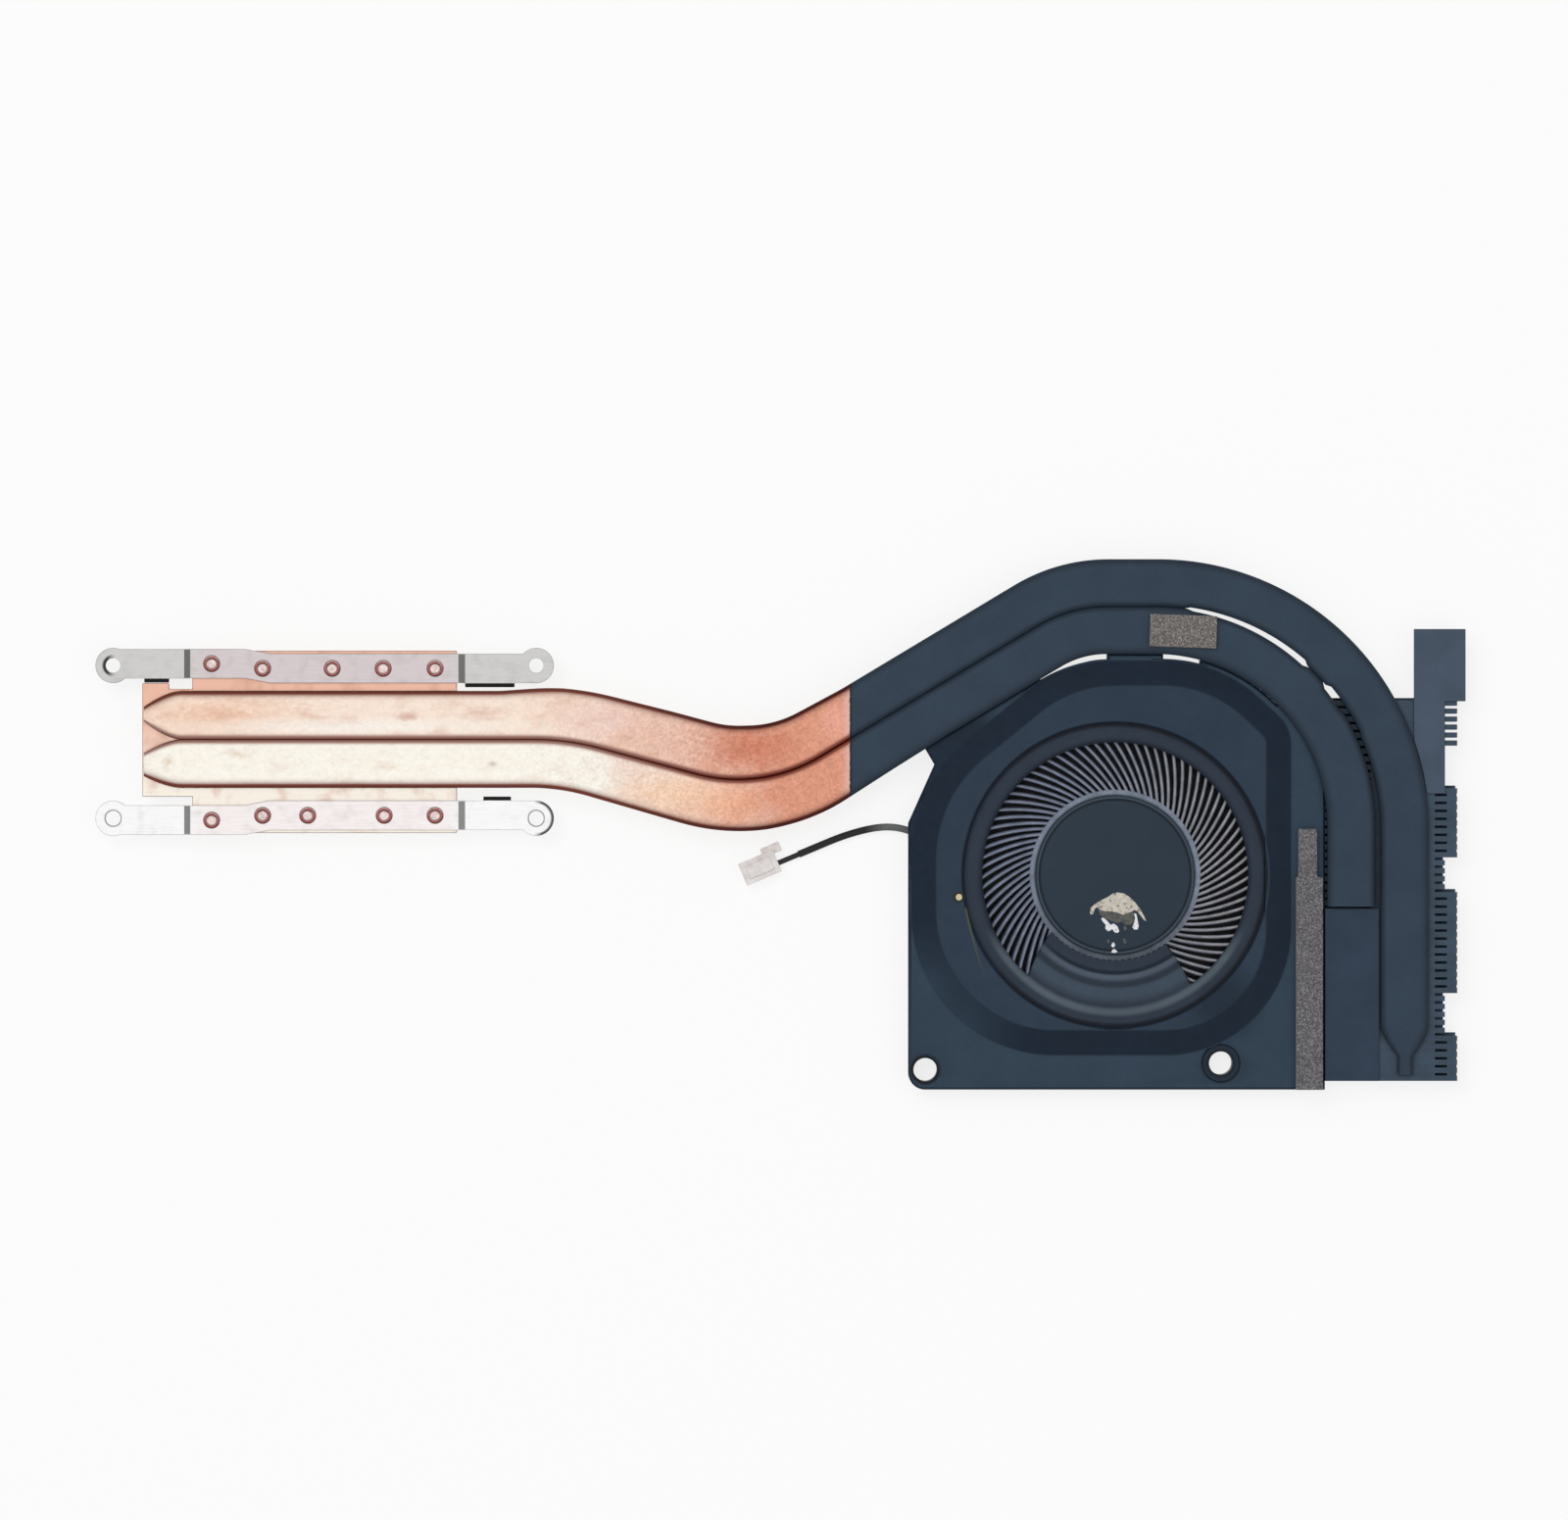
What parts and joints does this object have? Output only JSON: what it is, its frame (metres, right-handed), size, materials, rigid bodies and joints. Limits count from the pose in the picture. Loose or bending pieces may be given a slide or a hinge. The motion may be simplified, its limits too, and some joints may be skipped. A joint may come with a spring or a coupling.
{
  "type": "laptop cooling fan heatsink",
  "caption": "Flat laptop heat sink: copper cold plate with spring brackets, flattened heat pipes that curve round a thin blower, and a fin stack at the blower's outlet.",
  "frame": {"origin": "centre of the cold plate's contact face, between the four bracket screws", "axes": "+X from the chip towards the blower, +Z away from the chip, out of the blower's inlet"},
  "size_m": [0.2331, 0.0901, 0.0071],
  "materials": {
    "plate_copper": "stamped copper, bare",
    "pipe_copper": "drawn copper, bare at the plate and painted dark further on",
    "spring_steel": "satin",
    "fin_aluminium": "dark painted",
    "painted_sheet": "matt slate paint",
    "cover_paint": "matt slate paint",
    "base_plastic": "moulded",
    "impeller_plastic": "moulded",
    "motor_steel": "plain",
    "magnet": "bonded",
    "tube_brass": "turned",
    "sleeve_bronze": "sintered",
    "thrust_plastic": "plain",
    "coil_copper": "enamelled wire",
    "board": "coated board",
    "solder": "reflowed",
    "lead_sleeve": "sleeved",
    "connector_plastic": "translucent white",
    "contact_tin": "tinned",
    "foam": "open-cell sponge"
  },
  "bodies": {
    "heatsink": {"cold_plate": "plate_copper", "upper_spring_bracket": "spring_steel", "lower_spring_bracket": "spring_steel", "heat_pipe_inner": "pipe_copper", "heat_pipe_outer": "pipe_copper", "fin_stack": "fin_aluminium", "fin_tab_plate": "painted_sheet", "fin_cover_plate": "painted_sheet", "fan_cover": "cover_paint", "fan_base": "base_plastic", "bearing_tube": "tube_brass", "bearing_sleeve": "sleeve_bronze", "thrust_pad": "thrust_plastic", "stator_core": "motor_steel", "stator_coils": "coil_copper", "motor_board": "board", "lead_solder_block": "solder", "fan_lead": "lead_sleeve", "fan_connector": "connector_plastic", "connector_contacts": "contact_tin", "pipe_foam_pad": "foam", "outlet_foam_strip": "foam"},
    "rotor": {"impeller": "impeller_plastic", "rotor_yoke": "motor_steel", "rotor_magnet": "magnet", "shaft": "motor_steel"}
  },
  "joints": [
    {"name": "impeller_spin", "type": "hinge", "parent": "heatsink", "child": "rotor", "pos_m": [0.1345, -0.02267, 0], "axis": [0, 0, 1], "continuous": true}
  ]
}
